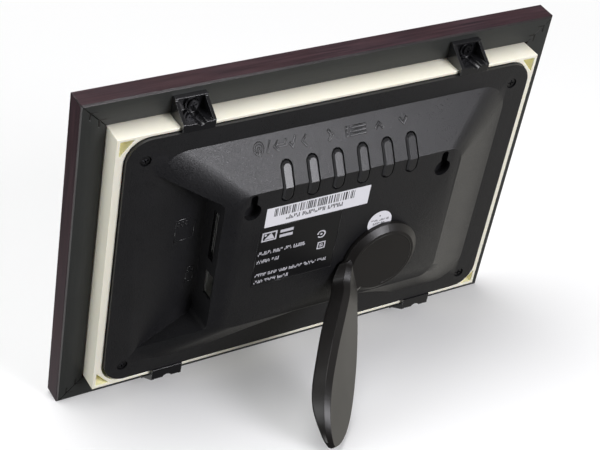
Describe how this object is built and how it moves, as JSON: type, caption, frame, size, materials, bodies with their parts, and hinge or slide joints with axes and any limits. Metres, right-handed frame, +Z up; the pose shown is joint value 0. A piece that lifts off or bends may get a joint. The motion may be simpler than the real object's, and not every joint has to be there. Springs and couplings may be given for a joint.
{
  "type": "digital photo frame",
  "caption": "Tabletop digital photo frame leaning on a swivelling leg: dark wooden frame, cream tray, black back with keys, side sockets and keyholes.",
  "frame": {"origin": "centre of the bounding box's underside, on the table the frame stands on", "axes": "+X to the right seen from the picture side, +Y out of the back towards the stand, +Z up; the frame leans back"},
  "size_m": [0.24, 0.1102, 0.1648],
  "materials": {
    "painted_wood": "satin",
    "nail_steel": "plain",
    "clear_glass": "polished",
    "cream_plastic": "matt",
    "black_plastic": "fine texture",
    "stand_plastic": "satin",
    "key_plastic": "gloss",
    "screw_steel": "plain",
    "sheet_steel": "bright",
    "lcd_glass": "polished",
    "white_plastic": "matt",
    "foil": "satin",
    "cream_clip": "matt",
    "amber_film": "gloss",
    "circuit_board": "solder mask",
    "chip_plastic": "matt",
    "can_metal": "satin",
    "connector_plastic": "matt",
    "label_paper": "printed"
  },
  "bodies": {
    "frame": {"back_cover": "black_plastic", "barcode_label": "label_paper", "board_screws": "screw_steel", "capacitors": "can_metal", "card_socket": "sheet_steel", "check_sticker": "label_paper", "clamp_bottom_left": "black_plastic", "clamp_bottom_right": "black_plastic", "clamp_screws": "screw_steel", "clamp_top_left": "black_plastic", "clamp_top_right": "black_plastic", "corner_v_nails": "nail_steel", "cover_screws": "screw_steel", "crystal": "can_metal", "flash_chip": "chip_plastic", "frame_rail_bottom": "painted_wood", "frame_rail_left": "painted_wood", "frame_rail_right": "painted_wood", "frame_rail_top": "painted_wood", "front_glass": "clear_glass", "insulating_sheet": "foil", "lcd_backlight": "white_plastic", "lcd_clips": "cream_clip", "lcd_connector": "connector_plastic", "lcd_flex_cable": "amber_film", "lcd_glass_panel": "lcd_glass", "lcd_metal_bezel": "sheet_steel", "lcd_rear_sheet": "foil", "main_board": "circuit_board", "mat_tray": "cream_plastic", "memory_chip": "chip_plastic", "power_inductor": "chip_plastic", "power_jack": "chip_plastic", "power_jack_pin": "can_metal", "processor_chip": "chip_plastic", "rating_label": "label_paper", "tact_switches": "chip_plastic", "usb_port": "sheet_steel", "usb_tongue": "white_plastic"},
    "stand": {"stand_leg": "stand_plastic", "stand_screw": "screw_steel", "stand_washer": "screw_steel", "stand_wave_washer": "screw_steel"},
    "button_back": {"button_back": "key_plastic"},
    "button_down": {"button_down": "key_plastic"},
    "button_forward": {"button_forward": "key_plastic"},
    "button_menu": {"button_menu": "key_plastic"},
    "button_power": {"button_power": "key_plastic"},
    "button_up": {"button_up": "key_plastic"}
  },
  "joints": [
    {"name": "stand_swivel", "type": "hinge", "parent": "frame", "child": "stand", "pos_m": [-0.0277, -0.00382, 0.05955], "axis": [0, 0.9719, -0.2352], "range_deg": [0, 147.3]},
    {"name": "press_back", "type": "slide", "parent": "frame", "child": "button_back", "axis": [0, -0.9719, 0.2352], "range_m": [0, 0.0006], "stiffness_N_per_m": 1200, "springref_m": -0.0002},
    {"name": "press_down", "type": "slide", "parent": "frame", "child": "button_down", "axis": [0, -0.9719, 0.2352], "range_m": [0, 0.0006], "stiffness_N_per_m": 1200, "springref_m": -0.0002},
    {"name": "press_forward", "type": "slide", "parent": "frame", "child": "button_forward", "axis": [0, -0.9719, 0.2352], "range_m": [0, 0.0006], "stiffness_N_per_m": 1200, "springref_m": -0.0002},
    {"name": "press_menu", "type": "slide", "parent": "frame", "child": "button_menu", "axis": [0, -0.9719, 0.2352], "range_m": [0, 0.0006], "stiffness_N_per_m": 1200, "springref_m": -0.0002},
    {"name": "press_power", "type": "slide", "parent": "frame", "child": "button_power", "axis": [0, -0.9719, 0.2352], "range_m": [0, 0.0006], "stiffness_N_per_m": 1200, "springref_m": -0.0002},
    {"name": "press_up", "type": "slide", "parent": "frame", "child": "button_up", "axis": [0, -0.9719, 0.2352], "range_m": [0, 0.0006], "stiffness_N_per_m": 1200, "springref_m": -0.0002}
  ]
}
